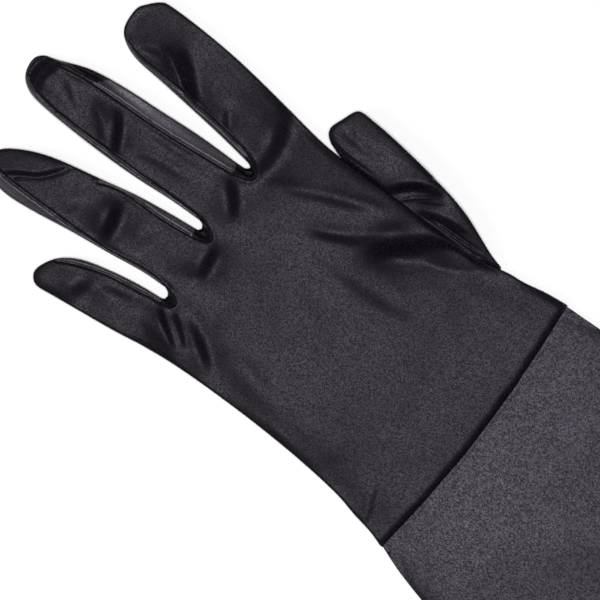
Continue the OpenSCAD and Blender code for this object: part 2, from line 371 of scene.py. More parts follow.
# Scarps: line, drop, half width. Pleats: line, height, half width. All in mm.
HAND_SCARPS = [
    # little finger
    ([(-50.5, 136), (-44.5, 134.6), (-38.5, 131.5)], 3.7, 3.1),
    ([(-41.5, 133), (-39, 127), (-37, 117)], -0.7, 1.4),
    ([(-32, 111.5), (-36.6, 105), (-43, 94)], -2.6, 1.1),
    ([(-30.5, 106.5), (-35.5, 99), (-41, 92)], -1.8, 0.9),
    ([(-29.5, 102), (-35, 91), (-42, 80)], -3.0, 2.1),
    ([(-40, 114), (-42, 107), (-44, 100)], 0.6, 1.8),
    # ring finger
    ([(-34, 186), (-27, 175.5), (-22, 168.5), (-13, 162)], 1.0, 0.7),
    ([(-29, 138.8), (-20.5, 140), (-12, 142.6)], 5.2, 2.5),
    ([(-24, 129), (-16, 126), (-9, 121)], 1.0, 2.6),
    ([(-30, 155), (-19, 151.5)], 0.9, 1.8),
    ([(-19.5, 104.5), (-11.5, 105.6), (-3.5, 107)], 4.1, 2.4),
    ([(-30, 117), (-25, 110), (-16, 101)], -1.2, 3.2),
    # middle finger
    ([(-4, 187), (4.5, 190), (14, 187.6)], -5.5, 2.6),
    ([(-3, 152.5), (5, 157), (12.5, 162)], 3.6, 1.7),
    ([(1, 170), (5, 177), (10, 184)], 0.9, 1.5),
    ([(3.5, 106), (11.5, 112.5), (17.8, 119.6)], 3.4, 2.3),
    # index finger
    ([(25, 137.5), (30.5, 144.5), (35, 149.8), (38.6, 154.8), (41.8, 160)], 4.3, 2.5),
    ([(31, 171), (34.5, 164), (35, 155)], 1.2, 1.4),
    ([(27, 127), (35, 134)], 1.4, 1.2),
    ([(16, 111), (31, 110.6), (40, 113), (50, 117.6)], 3.9, 3.2),
    # hand
    ([(22.5, 67), (28.6, 61), (34.2, 55), (39.4, 48.6), (47, 36)], 7.6, 3.7),
    ([(25, 64), (29.5, 59.8), (34.5, 54.5)], 2.4, 2.2),
    ([(17, 88), (21, 78), (26, 67)], 1.0, 1.5),
    ([(39, 54), (42.6, 43), (46, 24)], 1.8, 1.6),
    ([(12, 88), (12.5, 62), (14, 46), (18, 28)], -1.0, 2.7),
    ([(6, 84), (-3, 66), (-12, 48)], -0.8, 4.0),
    ([(-26, 88), (-31, 70), (-37, 48)], -1.0, 3.2),
    ([(24, 106), (31, 88), (40, 66)], 0.8, 2.4),
    ([(-54, 8), (-46, 10), (-34, 15)], 0.8, 1.2),
]
HAND_PLEATS = [
    ([(-32, 108.5), (-36.6, 101.6), (-42, 93)], 0.3, 0.9),
    ([(-34, 184.5), (-27, 175), (-22, 168), (-11, 160)], -0.9, 0.6),
    ([(-2, 188), (1, 192), (5, 193.6), (9.5, 192.2), (12.4, 187)], -0.25, 0.5),
    ([(-2, 157), (4, 162.4), (10, 171)], 0.45, 1.5),
    ([(2, 154), (6, 141), (8, 124)], 0.35, 1.8),
    ([(12, 154), (12.5, 140), (13, 124)], -0.3, 1.4),
    ([(28, 144), (33, 153), (38.6, 164)], 0.9, 1.4),
    ([(20, 112), (27, 96), (33, 83), (42, 62)], 0.6, 2.2),
    ([(15, 90), (24, 75), (30, 67.5), (40, 56)], 0.4, 2.2),
]
THUMB_SCARPS = [
    ([(41, 73.5), (46.5, 70.7), (50, 67.6), (53, 63.4), (56, 54)], 4.3, 1.4),
    ([(44.6, 63), (46.6, 57), (48.4, 51), (49.4, 45), (49.6, 38)], 2.5, 1.4),
    ([(50.5, 101), (46.6, 96), (45.4, 89), (45, 80), (44.8, 70)], 1.2, 0.8),
]
THUMB_PLEATS = [
    ([(43.8, 68), (47.4, 64.6), (50.6, 61), (54.8, 55)], -0.7, 0.42),
    ([(47.5, 63), (50.6, 59), (54, 52.6)], -0.45, 0.36),
    ([(45.4, 60), (45.6, 42), (46.4, 33), (47.6, 25)], -0.6, 0.36),
    ([(47.2, 56), (47.5, 42), (48.2, 31)], -0.7, 0.42),
    ([(48.2, 101), (46.5, 95), (46.1, 88), (46.4, 76)], -0.55, 0.4),
    ([(52.5, 100), (51.8, 90), (51.6, 78)], -0.3, 1.6),
]
SLEEVE_SCARPS = [
    ([(-70, -190), (-36, -212), (0, -219)], 2.6, 5),
    ([(64, -196), (34, -216), (4, -227)], -2.4, 5),
    ([(66, -238), (30, -240), (-6, -230)], 1.8, 5),
]
SLEEVE_PLEATS = [
    ([(-36, -26), (-10, -52), (14, -70), (40, -88)], 0.5, 10),
    ([(-60, -62), (-40, -100), (-24, -150)], -0.7, 9),
    ([(44, -82), (22, -130), (10, -185)], 0.8, 10),
    ([(-64, -178), (-30, -198), (2, -207)], 0.9, 8),
    ([(-70, -246), (-42, -238), (-10, -228)], 1.0, 7),
    ([(-52, -256), (-30, -300), (-22, -350)], 0.9, 10),
    ([(38, -256), (30, -300), (40, -355)], -0.9, 10),
    ([(4, -262), (0, -310), (4, -356)], 0.6, 9),
]

# Each seam of the fourchettes: from one finger's tip, down round the crotch and up to the next finger's tip.
SEAMS = {
    ("little", "ring"): [
        (-42.4, 147.2), (-39.6, 142), (-37.2, 136), (-35.2, 129), (-33.6, 120), (-32.2, 112), (-31.4, 107.6),
        (-30, 105.8), (-28.4, 107), (-27, 111), (-26.3, 117), (-26.8, 124), (-28.8, 135), (-29.6, 147),
        (-29.9, 157), (-30.1, 166), (-30.2, 174), (-29.8, 181), (-27.6, 186.9),
    ],
    ("ring", "middle"): [
        (-12.4, 152), (-10.2, 146), (-9.4, 138), (-9.2, 130), (-8.4, 121),
        (-7.3, 114.4), (-6.3, 111), (-5, 109.5), (-3.4, 110.4), (-2, 113.4), (-1.1, 118), (-1.1, 128),
        (-1.6, 143), (-1.9, 157), (-2.1, 172), (-1.7, 182), (-0.4, 188.5), (2, 193),
    ],
    ("middle", "index"): [
        (10.4, 192.4), (11.2, 187), (12.4, 180), (13.4, 172), (13.9, 162), (14.4, 150), (15.2, 140),
        (16.4, 130), (17.4, 121), (18.6, 114.6), (19.6, 111.9), (21.2, 110.6), (23, 111.4), (24.8, 114.4),
        (26.4, 120), (27.7, 130), (28.7, 140), (29.4, 150), (29.8, 160), (30.2, 168), (31.8, 173.4),
    ],
}
# Places where a strip turns down, away from the light: the webs at the crotches and the middle finger's tip.
# Each has its middle, its reach and its slope.
TURNED_DOWN = [
    ((-29.6, 107.6), 3.6, 1.5),
    ((-4.6, 111.8), 3.6, 1.5),
    ((21.4, 112.4), 3.6, 1.5),
    ((15.4, 180), 7.5, 1.0),
]
# The same tip's seam stands up, so that the strip beside it falls steeply: middle, reach and height.
TIP_RIDGE = ((12.5, 182), 9.0, 1.5)
TIP_SEAM = ("middle", "index")
# Past a slanting line through this point, which falls by this much a mm of u, that strip's end takes the
# hand's darker satin as painted shade.
TIP_SHADE_FROM = (15.5, 172.0)
TIP_SLANT = 0.9

# Where a finger starts: the ends of its crease on the outline.
BASES = {
    "little": ((-47.4, 107.5), (-30.8, 110.6)),
    "ring": ((-26.6, 112.5), (-5, 115.8)),
    "middle": ((-1.4, 116.5), (21.3, 117.6)),
    "index": ((24.4, 117), (46.6, 115.4)),
}

# Lines up the middle of the gaps between the fingers.
GAPS = [
    [(-29, 108), (-30.3, 120), (-33, 130), (-36.5, 140), (-38, 150), (-40, 200)],
    [(-3.8, 113), (-4.6, 120), (-6, 135), (-7.5, 150), (-10, 200)],
    [(22.6, 114), (22.6, 120), (23.5, 150), (24, 200)],
]

# ---------------------------------------------------------------- filling an outline with points


ROW_ERROR = 0.04
LEAST_GAP = 0.3
LEAST_CELL = 0.22


def away(p, line, least):
    """The points of p that lie further than least from the line."""
    return p[to_line(p, line)[0] > least]


def spread(loop, edges, rows, spacing, lines=(), line_rows=()):
    """Points to fill a loop: rows beside its closed edges, rows beside the lines on it, and an even field."""
    pts = []
    for edge in edges:
        normal = to_left(edge)
        for k, d in enumerate(rows):
            for sign in (1, -1):
                q = edge + sign * normal * d
                far = to_line(q, edge)[0] > d - ROW_ERROR
                q = q[far & inside(q, loop)]
                pts.append(q[k % 2 :])
    for line in lines:
        normal = to_left(line)
        for d in line_rows:
            q = line + normal * d
            q = q[(to_line(q, line)[0] > abs(d) - ROW_ERROR) & inside(q, loop)]
            for edge in edges:
                q = away(q, edge, LEAST_GAP)
            pts.append(q)
    low, high = loop.min(0), loop.max(0)
    xs = np.arange(low[0], high[0], spacing)
    ys = np.arange(low[1], high[1], spacing * 0.866)
    X, Y = np.meshgrid(xs, ys)
    X[::2] += spacing / 2
    field = np.stack([X.ravel(), Y.ravel()], 1)
    field = field[inside(field, loop)]
    for edge in edges:
        field = away(field, edge, rows[-1] + 0.45 * spacing)
    for line in lines:
        field = away(field, line, max(line_rows) + 0.45 * spacing)
    return thinned(np.vstack(pts + [field]))


def thinned(p):
    """Only the first point of those that share a small cell."""
    _, first = np.unique(np.floor(p / LEAST_CELL).astype(int), axis=0, return_index=True)
    return p[np.sort(first)]


def triangulated(loop, pts, lines):
    """A triangle mesh inside the loop over the loop, the points, and the lines, which become edges of it."""
    coords = [Vector(q) for q in loop]
    edges = []
    face = [list(range(len(loop)))]
    for line in lines:
        start = len(coords)
        coords += [Vector(q) for q in line]
        edges += [(start + i, start + i + 1) for i in range(len(line) - 1)]
    coords += [Vector(q) for q in pts]
    verts, _, faces, _, _, _ = geometry.delaunay_2d_cdt(coords, edges, face, 1, 1e-4, False)
    p = np.array([tuple(v) for v in verts])
    tris = np.array([f for f in faces if len(f) == 3])
    a, b, c = p[tris[:, 0]], p[tris[:, 1]], p[tris[:, 2]]
    area = (b[:, 0] - a[:, 0]) * (c[:, 1] - a[:, 1]) - (b[:, 1] - a[:, 1]) * (c[:, 0] - a[:, 0])
    tris[area < 0] = tris[area < 0][:, ::-1]
    tris = tris[np.abs(area) > 1e-6]
    return p, tris[inside(p[tris].mean(1), loop)]


def round_edge(d, radius):
    """A quarter circle's rise, from 0 at the edge to 1 at the radius."""
    t = np.clip(d / radius, 0, 1)
    return np.sqrt(np.clip(1 - (1 - t) ** 2, 0, 1))


# ---------------------------------------------------------------- the three shells: hand, thumb, sleeve


class Shell:
    """A flattened tube of cloth: a top and an under sheet over the same points, joined where it is closed."""

    def __init__(self, p, tris, top, under, closed):
        n = len(p)
        self.flat = np.vstack([p, p])
        self.co = np.vstack([np.column_stack([p, top]), np.column_stack([p, under])])
        mate = np.arange(n) + n
        mate[closed] = np.flatnonzero(closed)
        shut = np.flatnonzero(closed)
        self.co[shut, 2] = (top[shut] + under[shut]) / 2
        self.faces = np.vstack([tris, mate[tris[:, ::-1]]])
        self.is_top = np.arange(len(self.faces)) < len(tris)
        self.mid = self.flat[self.faces].mean(1)
        a, b, c = (self.co[self.faces[:, i]] for i in range(3))
        fn = np.cross(b - a, c - a)
        self.normal = np.zeros_like(self.co)
        for i in range(3):
            np.add.at(self.normal, self.faces[:, i], fn)
        size = np.linalg.norm(self.normal, axis=1)
        self.normal /= np.maximum(size, 1e-12)[:, None]


# Rows of points beside a closed edge, beside a seam and above the wrist's open edge, in mm from it.
EDGE_ROWS = [0.15, 0.45, 0.9, 1.5, 2.2]
SEAM_ROWS = [-1.4, -0.8, -0.35, 0.35, 0.8, 1.4]
HEM_ROWS = [0.25, 0.6, 1.1]
# Heights above the table: the underside, how much higher the closed edges lie, and the edges themselves.
UNDER_Z, EDGE_UP, EDGE_Z = 0.3, 0.9, 1.2
# How much higher the cloth lies than its edge, and the least gap between the two sheets.
RISE, LEAST_OPEN = 0.95, 1.0
CLOSED = 1e-3


def straight(a, b, n):
    """n + 1 points from a to b."""
    return a + (b - a) * np.linspace(0, 1, n + 1)[:, None]


# ----- the hand and its four fingers
CREASE_STEP = 1.1
seam_lines = {key: resample(pattern(points), 1.0) for key, points in SEAMS.items()}
crease_lines = {}
for name, ends in BASES.items():
    a, b = (edge_line[nearest_on(edge_line, q)] for q in pattern(ends))
    crease_lines[name] = straight(a, b, max(2, int(np.linalg.norm(b - a) / CREASE_STEP)))
seams, creases = list(seam_lines.values()), list(crease_lines.values())
fill = spread(hand_loop, [edge_line], EDGE_ROWS, 0.95, seams, SEAM_ROWS)
for line in creases:
    fill = away(fill, line, LEAST_GAP)
fill = away(fill, hem_line, HEM_ROWS[-1] + LEAST_GAP)
fill = np.vstack([fill] + [hem_line[1:-1] + (0, d) for d in HEM_ROWS])
P, T = triangulated(hand_loop, fill, seams + creases)

inner_edge = edge_line[edge_line[:, 0] > ORIGIN[0] + 40]
inner_edge = inner_edge[inner_edge[:, 1] < ORIGIN[1] + 100]
inner_edge = inner_edge[inner_edge[:, 1].argsort()]


def beyond_hand(p):
    """How far points lie outside the hand's edge on the thumb's side, in mm."""
    return p[:, 0] - np.interp(p[:, 1], inner_edge[:, 1], inner_edge[:, 0])


def bump_at(p, centre, reach):
    """1 at a place on the pattern, and less further off."""
    return np.exp(-((p - pattern([centre])[0]) ** 2).sum(1) / reach**2)


def strip_outline(line):
    """The loop round the strip of a fourchette, between its seam and the hand's edge."""
    first, last = nearest_on(edge_line, line[0]), nearest_on(edge_line, line[-1])
    part = edge_line[min(first, last) : max(first, last) + 1]
    return np.vstack([line, part[::-1] if first < last else part])


strip_outlines = {key: strip_outline(line) for key, line in seam_lines.items()}
seam_top = np.zeros(len(P))
seam_near = np.full(len(P), 99.0)
for key, line in seam_lines.items():
    d = to_line(P, line)[0]
    s = np.where(inside(P, strip_outlines[key]), d, -d)
    for centre, reach, slope in TURNED_DOWN:
        seam_top -= slope * bump_at(P, centre, reach) * np.clip(s, 0, 3)
    if key == TIP_SEAM:
        centre, reach, height = TIP_RIDGE
        seam_top += height * bump_at(P, centre, reach) * np.exp(-np.maximum(-s, 0) / 4)
    # The seam itself is a groove between two raised lines of stitches.
    groove = -0.45 * np.exp(-((s / 0.36) ** 2))
    ridge = 0.42 * np.exp(-(((s - 0.95) / 0.55) ** 2)) + 0.22 * np.exp(-(((s + 0.9) / 0.5) ** 2))
    seam_top += np.where(d < 4, groove + ridge, 0)
    seam_near = np.minimum(seam_near, d)

d_edge = to_line(P, edge_line)[0]
d_hem = to_line(P, hem_line)[0]
on_edge = d_edge < CLOSED
U, V = (P - ORIGIN).T
EDGE_ROUND = 0.7
# Past the valley and in the fingers a fold may raise the edge too.
EDGE_KEPT = 3.0
past_valley = smoothstep(GY - ORIGIN[1], 40, 50) * (GX > ORIGIN[0] + 20)
raised_most = EDGE_KEPT * np.maximum(past_valley, smoothstep(GY - ORIGIN[1], 108, 122))
level, raised = scarred(HAND_SCARPS, hand_loop, P, raised_most)
fold = level * smoothstep(d_edge, 0, 1.5) + pleated(P, HAND_PLEATS) * smoothstep(d_edge, 0, 2)
bumpy = sampled(rough, P)
# The edge on the thumb's side stands off the table, because the thumb lies under it.
over_thumb = smoothstep(V, 22, 40) * (1 - smoothstep(V, 78, 112))
far_in = -beyond_hand(P)
lift = 1.7 * over_thumb
lift_there = 1 - smoothstep(far_in, 1.5, 36)
h = sampled(swell, P) * (1 - 0.5 * over_thumb * (1 - smoothstep(far_in, 8, 30)))
hem_bulk = 0.9 * (1 - smoothstep(V, 0, 30))
thick = 0.9 * smoothstep(V, 10, 45)
rise = RISE + h + fold + bumpy * smoothstep(d_edge, 0.0, 3.0) + seam_top * smoothstep(d_edge, 0.1, 0.8)
# The hem's double cloth ends in a slight step.
rise -= 0.05 * smoothstep(V, 10.4, 12.8)
round_off = round_edge(d_edge, EDGE_ROUND)
near_side = 1 - smoothstep(d_edge, 1.5, 14)
under = (
    UNDER_Z + (EDGE_UP + thick + hem_bulk) * (1 - round_off)
    + raised * near_side + lift * near_side * lift_there
    + 0.25 * np.exp(-((seam_near / 0.5) ** 2)) + 0.12 * np.clip(bumpy + 0.3, 0, 2)
)
top = EDGE_Z + thick + hem_bulk + raised + lift * lift_there + rise * round_off
# The hem rolls down to the sleeve, with a slightly ragged edge.
top -= 1.8 * (1 - round_edge(d_hem, 2.8))
top += 0.2 * sampled(ragged, P) * np.exp(-d_hem / 1.3) * round_off
# Where the upper cloth sinks, it rests on the lower one.
top = np.maximum(top, under + LEAST_OPEN * round_off)
hand = Shell(P, T, top, under, on_edge)
# How high the hand's edge on the thumb's side stands, with room for the thumb's cloth under it.
rim = on_edge & (U > 40) & (V < 100)
rim_y = np.sort(P[rim, 1])
rim_z = under[rim][P[rim, 1].argsort()] - 0.3


# ----- the thumb, with the gusset that joins it to the hand
thumb_top = top_loop("thumb_back")
root_top = top_loop("thumb_root_back")
thumb_path = open_paths(thumb_top, THUMB_STEP)[0]
root_outer = root_top[(beyond_hand(root_top) > 0.6) & (root_top[:, 1] < thumb_path[:, 1].max())]
root_outer = root_outer[root_outer[:, 1].argsort()]
if thumb_path[0][0] < thumb_path[-1][0]:
    thumb_path = thumb_path[::-1]
thumb_path = thumb_path[beyond_hand(thumb_path) > 1.0]
# The rest of its edge lies under the hand.
HIDDEN_EDGE = [(44.6, 92), (43.2, 84), (42.6, 72), (42.2, 62), (42, 50), (43, 40), (45.6, 31), (47.4, 24)]
THUMB_CREASE = [(42.3, 64.6), (58.2, 62.1)]
shown = thumb_path[~((thumb_path[:, 0] < ORIGIN[0] + 47) & (thumb_path[:, 1] < ORIGIN[1] + 95))]
thumb_loop = resample(np.vstack([root_outer, shown, pattern(HIDDEN_EDGE)]), EDGE_STEP)[:-1]
thumb_edge = np.vstack([thumb_loop, thumb_loop[:1]])
thumb_crease = straight(*(thumb_loop[nearest_on(thumb_loop, q)] for q in pattern(THUMB_CREASE)), 15)
fill = spread(thumb_loop, [thumb_edge], EDGE_ROWS[:4], 0.6)
PT, TT = triangulated(thumb_loop, away(fill, thumb_crease, LEAST_GAP), [thumb_crease])
d = to_line(PT, thumb_edge)[0]
out = beyond_hand(PT)
level, raised = scarred(THUMB_SCARPS, thumb_loop, PT, 5.0)
VT = PT[:, 1] - ORIGIN[1]
# The thumb lies higher towards its tip, and its root tilts up away from the hand.
raised += 1.5 * smoothstep(VT, 26, 42) + 1.0 * smoothstep(VT, 70, 100)
raised += 0.09 * np.clip(out, 0, 12) * (1 - smoothstep(VT, 80, 98))
fold = level + pleated(PT, THUMB_PLEATS) + 0.6 * sampled(rough, PT)
rise = 1.35 + 0.4 * (1 - np.exp(-d / 5)) + fold * smoothstep(d, 0, 1.5)
# Under the hand the thumb stays below the hand's cloth.
roof = np.interp(PT[:, 1], rim_y, rim_z) + 6 * smoothstep(out, 0, 1.5) + 20 * smoothstep(VT, 88, 98)
round_off = round_edge(d, 0.6 * EDGE_ROUND)
THUMB_EDGE_UP, THUMB_EDGE_Z = 0.8, 1.1
side_up = 0.8 * np.minimum(raised, roof - 2) * (1 - smoothstep(d, 1, 4))
under = UNDER_Z + THUMB_EDGE_UP * (1 - round_off) + side_up
top = np.minimum(THUMB_EDGE_Z + raised + rise * round_off, roof)
top = np.maximum(top, under + LEAST_OPEN * round_off)
thumb = Shell(PT, TT, top, under, d < CLOSED)

# ----- the sleeve
def sleeve_span(y):
    """The x of the sleeve's two sides at y."""
    return [np.interp(y, edge[:, 1], edge[:, 0]) for edge in sleeve_edges[::-1]]


def sleeve_rows(low, high, up, step):
    """Points in rows across the sleeve, up apart, every other row moved sideways."""
    rows = []
    for y in np.arange(low, high, up):
        a, b = sleeve_span(y)
        rows += [(x, y) for x in np.arange(a + 3.2 + (int(y * 10) % 2) * 0.6, b - 3, step)]
    return rows


def beside_sides(p):
    """Distance from the nearer side of the sleeve."""
    return np.minimum(to_line(p, sleeve_left)[0], to_line(p, sleeve_right)[0])


# The wrist and the top hem have closer points than the rest.
HEM = 18.0
HEM_Y = SLEEVE_END + HEM
SEAM_Y = WRIST_Y - 0.2
across = [np.array([(x, y) for x in np.linspace(*sleeve_span(y), 90)]) for y in (SEAM_Y, ELBOW_Y, HEM_Y)]
fill = spread(sleeve_loop, sleeve_edges, [0.2, 0.6, 1.2, 2.0], 2.1)
finer = (beside_sides(fill) > 2.2) & ((fill[:, 1] > WRIST_Y - 11.5) | (fill[:, 1] < HEM_Y + 8.5))
near_wrist = sleeve_rows(WRIST_Y - 11, TUCK_Y, 1.1, 1.3)
near_end = sleeve_rows(SLEEVE_END + 0.6, HEM_Y + 8, 1.3, 1.25)
fill = np.vstack([fill[~finer], near_wrist, near_end])
for line in across:
    fill = fill[np.abs(fill[:, 1] - line[0][1]) > 0.35]
fill = fill[np.abs(fill[:, 1] - SLEEVE_END) > LEAST_GAP]
PS, TS = triangulated(sleeve_loop, fill, across)
d = beside_sides(PS)
XS, YS = PS.T
tucked = smoothstep(YS, WRIST_Y - 30, WRIST_Y - 0.8)
hem_part = 1 - smoothstep(YS, HEM_Y - 3, HEM_Y + 10)
bulk = 0.9 * hem_part
fold = (scarred(SLEEVE_SCARPS, sleeve_loop, PS)[0] + pleated(PS, SLEEVE_PLEATS)) * (1 - tucked)
fold += 0.6 * sampled(rough, PS)
ditch = -0.5 * np.exp(-((to_line(PS, hem_line)[0] / 0.6) ** 2))
side_round = np.clip(d / 4, 0, 1)
swell = 0.55 * side_round * (2 - side_round) + 2.0 * (1 - np.exp(-d / 30))
# The elastic gathers the open end in small uneven waves, and two rows of stitches hold its hem.
PUCKER = 9.0
phase = 2 * np.pi * XS / PUCKER + 1.6 * np.sin(XS / 17) + 0.8 * np.sin(XS / 7 + 1)
ease = 1 - smoothstep(YS, SLEEVE_END + 9, HEM_Y + 9)
pucker = 0.28 * np.sin(phase) * ease * smoothstep(YS, SLEEVE_END - 4, SLEEVE_END + 5)
STITCH_ROWS = ((HEM_Y - 0.6, 0.35), (HEM_Y - 4, 0.25))
groove = sum(-depth * np.exp(-(((YS - y) / 0.6) ** 2)) for y, depth in STITCH_ROWS)
rise = (
    RISE + swell * (1 - 0.12 * hem_part) + ditch + fold * smoothstep(d, 0.0, 5.0)
    + (pucker + groove) * smoothstep(d, 0.5, 4) - 1.2 * tucked
)
round_off = round_edge(d, 1.5)
top = EDGE_Z + bulk + np.maximum(rise, 0.4) * round_off
under = (
    UNDER_Z + (EDGE_UP + bulk) * (1 - round_off) + 0.95 * tucked * round_edge(d, 2.5)
    + 0.12 * np.clip(sampled(rough, PS) + 0.3, 0, 2) - 0.12 * pucker * round_edge(d, 4)
)
sleeve = Shell(PS, TS, top, under, d < CLOSED)

# ---------------------------------------------------------------- pieces


def piece(name, shell, chosen, material, slot_name, outside=0.0, inside_at=0.5):
    """Some of a shell's faces as cloth, from outside to inside_at mm in from the shell's surface."""
    faces = shell.faces[chosen]
    used, faces = np.unique(faces, return_inverse=True)
    faces = faces.reshape(-1, 3)
    co, normal, flat = shell.co[used], shell.normal[used], shell.flat[used]
    n = len(used)
    outer, inner = co - normal * outside, co - normal * inside_at
    # The rim's edges belong to one face only.
    edge = {}
    for f in faces:
        for a, b in ((f[0], f[1]), (f[1], f[2]), (f[2], f[0])):
            edge[(int(a), int(b))] = edge.get((int(a), int(b)), 0) + 1
    rim = [(a, b) for (a, b) in edge if (b, a) not in edge]
    polys = [tuple(map(int, f)) for f in faces]
    polys += [(int(f[2]) + n, int(f[1]) + n, int(f[0]) + n) for f in faces]
    polys += [(b, a, a + n, b + n) for a, b in rim]
    points = np.vstack([outer, inner]) / 1000
    mesh = bpy.data.meshes.new(name)
    mesh.from_pydata([tuple(q) for q in points], [], polys)
    mesh.polygons.foreach_set("use_smooth", np.ones(len(polys), bool))
    uv = mesh.uv_layers.new(name="flat")
    corner = np.empty(len(mesh.loops), int)
    mesh.loops.foreach_get("vertex_index", corner)
    both = np.vstack([flat, flat])
    uv.data.foreach_set("uv", (both[corner] / 100).ravel())
    around = np.vstack([normal, -normal])
    loops = around[corner]
    start = 6 * len(faces)
    for i, (a, b) in enumerate(rim):
        p0, p1, p2 = points[b], points[a], points[a + n]
        face_normal = np.cross(p1 - p0, p2 - p0)
        loops[start + 4 * i : start + 4 * i + 4] = face_normal / max(np.linalg.norm(face_normal), 1e-12)
    mesh.normals_split_custom_set([tuple(q) for q in loops])
    obj = bpy.data.objects.new(name, mesh)
    bpy.context.scene.collection.objects.link(obj)
    mesh.materials.append(material)
    return obj


# ---------------------------------------------------------------- materials


def node(tree, kind, **values):
    """A new shader node, with values for its inputs and its settings."""
    made = tree.nodes.new(kind)
    for key, value in values.items():
        if key in made.inputs:
            made.inputs[key].default_value = value
        else:
            setattr(made, key, value)
    return made


def satin(name, colour, level, shine, stitch, contrast, relief):
    """Knitted satin. shine is its roughness, stitch the size of its stitches in mm, contrast how much their
    tones differ and relief how far they stand out."""
    mat = bpy.data.materials.new(name)
    mat.use_nodes = True
    t = mat.node_tree
    shader = t.nodes["Principled BSDF"]
    link = t.links.new
    uv = node(t, "ShaderNodeUVMap", uv_map="flat")
    drawn = node(t, "ShaderNodeMapping", Scale=(100 / stitch, 72 / stitch, 1))
    stitches = node(t, "ShaderNodeTexVoronoi", Scale=1.0, Randomness=0.85)
    wale = 100 / (1.9 * stitch) / (2 * math.pi)
    wales = node(t, "ShaderNodeTexWave", Scale=wale, Distortion=0.6, Detail=1.0)
    mottle = node(t, "ShaderNodeTexNoise", Scale=42.0, Detail=2.0, Roughness=0.5)
    patches = node(t, "ShaderNodeTexNoise", Scale=5.5, Detail=2.0, Roughness=0.5)
    for n in (drawn, wales, mottle, patches):
        link(uv.outputs["UV"], n.inputs["Vector"])
    link(drawn.outputs["Vector"], stitches.inputs["Vector"])
    split = node(t, "ShaderNodeSeparateColor")
    link(stitches.outputs["Color"], split.inputs["Color"])

    def ranged(source, low, high, from_low=0.0, from_high=1.0):
        made = node(t, "ShaderNodeMapRange")
        limits = {"From Min": from_low, "From Max": from_high, "To Min": low, "To Max": high}
        for key, value in limits.items():
            made.inputs[key].default_value = value
        link(source, made.inputs["Value"])
        return made.outputs["Result"]

    def maths(operation, a, b):
        made = node(t, "ShaderNodeMath", operation=operation)
        link(a, made.inputs[0])
        link(b, made.inputs[1])
        return made.outputs[0]

    tone = ranged(split.outputs["Red"], 1 - contrast, 1 + contrast)
    tone = maths("MULTIPLY", tone, ranged(wales.outputs["Fac"], 0.92, 1.08))
    tone = maths("MULTIPLY", tone, ranged(mottle.outputs["Fac"], 0.95, 1.05, 0.3, 0.7))
    tone = maths("MULTIPLY", tone, ranged(patches.outputs["Fac"], 0.93, 1.07, 0.3, 0.7))
    toned = node(t, "ShaderNodeVectorMath", operation="SCALE")
    toned.inputs[0].default_value = colour
    link(tone, toned.inputs["Scale"])
    link(toned.outputs["Vector"], shader.inputs["Base Color"])
    vary = 0.11 * contrast
    link(ranged(split.outputs["Red"], shine + vary, shine - vary), shader.inputs["Roughness"])
    height = node(t, "ShaderNodeBump", Strength=1.0, Distance=relief / 1000)
    relieved = maths("SUBTRACT", ranged(wales.outputs["Fac"], 0, 0.6), stitches.outputs["Distance"])
    link(relieved, height.inputs["Height"])
    link(height.outputs["Normal"], shader.inputs["Normal"])
    shader.inputs["Specular IOR Level"].default_value = level
    shader.inputs["Specular Tint"].default_value = (0.92, 0.84, 1.0, 1)
    return mat


hand_satin = satin("hand_satin", (0.0058, 0.0046, 0.0070), 0.112, 0.45, 0.27, 1.0, 0.006)
# The strips take a lighter copy of the hand's satin, with a higher specular level: painted light, for the
# light the fourchettes catch.
lit_strip_satin = satin("lit_strip_satin", (0.026, 0.0235, 0.0285), 0.40, 0.45, 0.27, 0.6, 0.004)
# The webs take a darker copy of the hand's satin: painted shade in the crotches.
shaded_web_satin = satin("shaded_web_satin", (0.0045, 0.0038, 0.0054), 0.085, 0.5, 0.27, 0.6, 0.004)
sleeve_satin = satin("sleeve_satin", (0.018, 0.0165, 0.0215), 0.158, 0.46, 0.33, 1.0, 0.009)
tape = satin("tape", (0.015, 0.015, 0.015), 0.1, 0.7, 0.9, 0.5, 0.15)
thread = satin("thread", (0.03, 0.028, 0.032), 0.15, 0.5, 0.3, 0.5, 0.05)

# ---------------------------------------------------------------- the hand's and the fingers' pieces

# Each face belongs to the finger between whose gaps it lies, if it is past that finger's crease.
mid_u, mid_v = (hand.mid - ORIGIN).T
which = np.zeros(len(mid_u), int)
for gap in GAPS:
    gap_u, gap_v = np.array(gap, float).T
    which += mid_u > np.interp(mid_v, gap_v, gap_u)
region = np.full(len(hand.faces), "hand", dtype="<U8")
for k, name in enumerate(FINGERS):
    a, b = crease_lines[name][0], crease_lines[name][-1]
    past = (b[0] - a[0]) * (hand.mid[:, 1] - a[1]) - (b[1] - a[1]) * (hand.mid[:, 0] - a[0]) > 0
    region[past & (which == k)] = name
strip = np.full(len(hand.faces), "", dtype="<U16")
for key, loop in strip_outlines.items():
    strip[inside(hand.mid, loop)] = "_".join(key)


def declare_sheet(shell, chosen, around):
    """Works out what the piece's cloth measures laid flat, and keeps it nowhere. around is 2 for one that
    goes right round the glove.
    """
    corners = shell.co[shell.faces[chosen]] / 1000
    a, b, c = (corners[:, i] for i in range(3))
    area = np.linalg.norm(np.cross(b - a, c - a), axis=1).sum() / 2
    width, length = np.ptp(corners[:, :, :2].reshape(-1, 2), axis=0) * (around, 1)
    width = max(width, 1.001 * area / length)


def make(name, shell, chosen, material, slot_name, nodes, body, child=None, start=None, end=None,
         rests_on=(), held="laid", around=1, **depth):
    """A piece of cloth that stands for CAD nodes. It rides on a body; given a child body it is only baked in
    place.
    """
    obj = piece(name, shell, chosen, material, slot_name, **depth)
    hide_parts(*nodes)
    if rests_on:
        declare_sheet(shell, chosen, around)
    if child is None:
        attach(obj, body)
    else:
        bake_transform(obj)
    return obj


